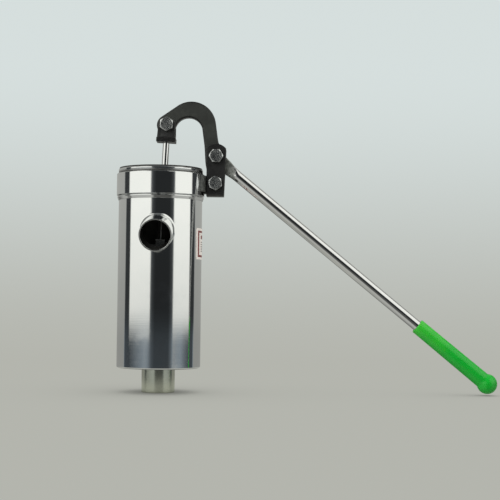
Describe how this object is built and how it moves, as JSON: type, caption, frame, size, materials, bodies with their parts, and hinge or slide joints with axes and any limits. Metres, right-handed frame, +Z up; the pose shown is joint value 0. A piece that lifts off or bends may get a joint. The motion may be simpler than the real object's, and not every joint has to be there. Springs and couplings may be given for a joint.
{
  "type": "hand well pump",
  "caption": "Hand lift pump with an open stainless barrel, a sloping front spout, a gooseneck lever on a side bracket and a long gripped handle.",
  "frame": {"origin": "centre of the inlet socket's bottom face", "axes": "+Z up along the barrel, +X from the barrel towards the handle, the spout points towards -Y"},
  "size_m": [0.4952, 0.1456, 0.3772],
  "materials": {
    "polished_steel": "mirror-polished stainless steel",
    "plain_steel": "turned stainless steel",
    "dark_casting": "dark cast iron",
    "black_paint": "semi-gloss black paint on iron",
    "zinc_fasteners": "bright zinc plate",
    "chrome_plate": "bright chrome plate on steel tube",
    "brass_parts": "turned brass",
    "black_rubber": "matte rubber",
    "grey_nylon": "turned nylon",
    "green_vinyl": "dipped soft vinyl",
    "label_film": "printed film label"
  },
  "bodies": {
    "pump_body": {"barrel": "polished_steel", "floor_plate": "plain_steel", "inlet_socket": "plain_steel", "spout": "polished_steel", "label_panel": "label_film", "collar_bead": "polished_steel", "collar_band": "polished_steel", "rim_ring": "polished_steel", "collar_lug": "dark_casting", "pivot_bracket": "black_paint", "fulcrum_bolt": "zinc_fasteners", "fulcrum_washer": "zinc_fasteners", "fulcrum_nut": "zinc_fasteners", "lug_bolt": "zinc_fasteners", "lug_washer": "zinc_fasteners", "lug_nut": "zinc_fasteners", "foot_valve_seat": "brass_parts", "flap_bracket": "brass_parts", "flap_hinge_pin": "zinc_fasteners"},
    "lever": {"gooseneck_arm": "black_paint", "fulcrum_bush": "brass_parts", "handle_tube": "chrome_plate", "tang_rivet": "zinc_fasteners", "grip": "green_vinyl"},
    "rod": {"rod_clevis": "black_paint", "clevis_bolt": "zinc_fasteners", "clevis_nut": "zinc_fasteners", "piston_rod": "polished_steel", "rod_eye": "plain_steel", "wrist_pin": "zinc_fasteners", "wrist_clip_front": "zinc_fasteners", "wrist_clip_back": "zinc_fasteners"},
    "piston": {"piston_body": "grey_nylon", "cup_seal": "black_rubber", "clamp_ring": "plain_steel", "piston_yoke": "plain_steel", "piston_screw_1": "zinc_fasteners", "piston_screw_2": "zinc_fasteners", "piston_screw_3": "zinc_fasteners", "piston_screw_4": "zinc_fasteners"},
    "delivery_valve": {"delivery_valve": "brass_parts"},
    "foot_flap": {"flap_valve": "black_rubber", "flap_weight": "dark_casting", "flap_screw": "zinc_fasteners", "flap_nut": "zinc_fasteners"}
  },
  "joints": [
    {"name": "handle", "type": "hinge", "parent": "pump_body", "child": "lever", "pos_m": [0.0717, 0, 0.3056], "axis": [0, -1, 0], "range_deg": [0, 62]},
    {"name": "rod_pivot", "type": "hinge", "parent": "lever", "child": "rod", "pos_m": [0.0072, 0, 0.346], "axis": [0, -1, 0], "range_deg": [-62, 0]},
    {"name": "piston_slide", "type": "slide", "parent": "pump_body", "child": "piston", "axis": [0, 0, 1], "range_m": [-0.0784, 0]},
    {"name": "delivery_lift", "type": "slide", "parent": "piston", "child": "delivery_valve", "axis": [0, 0, 1], "range_m": [0, 0.006]},
    {"name": "flap_swing", "type": "hinge", "parent": "pump_body", "child": "foot_flap", "pos_m": [-0.0245, 0, 0.0422], "axis": [0, -1, 0], "range_deg": [0, 22]}
  ],
  "couplings": [
    {"joint": "rod_pivot", "follows": "handle", "ratio": -1},
    {"joint": "piston_slide", "follows": "handle", "m_per_rad": -0.07245}
  ]
}
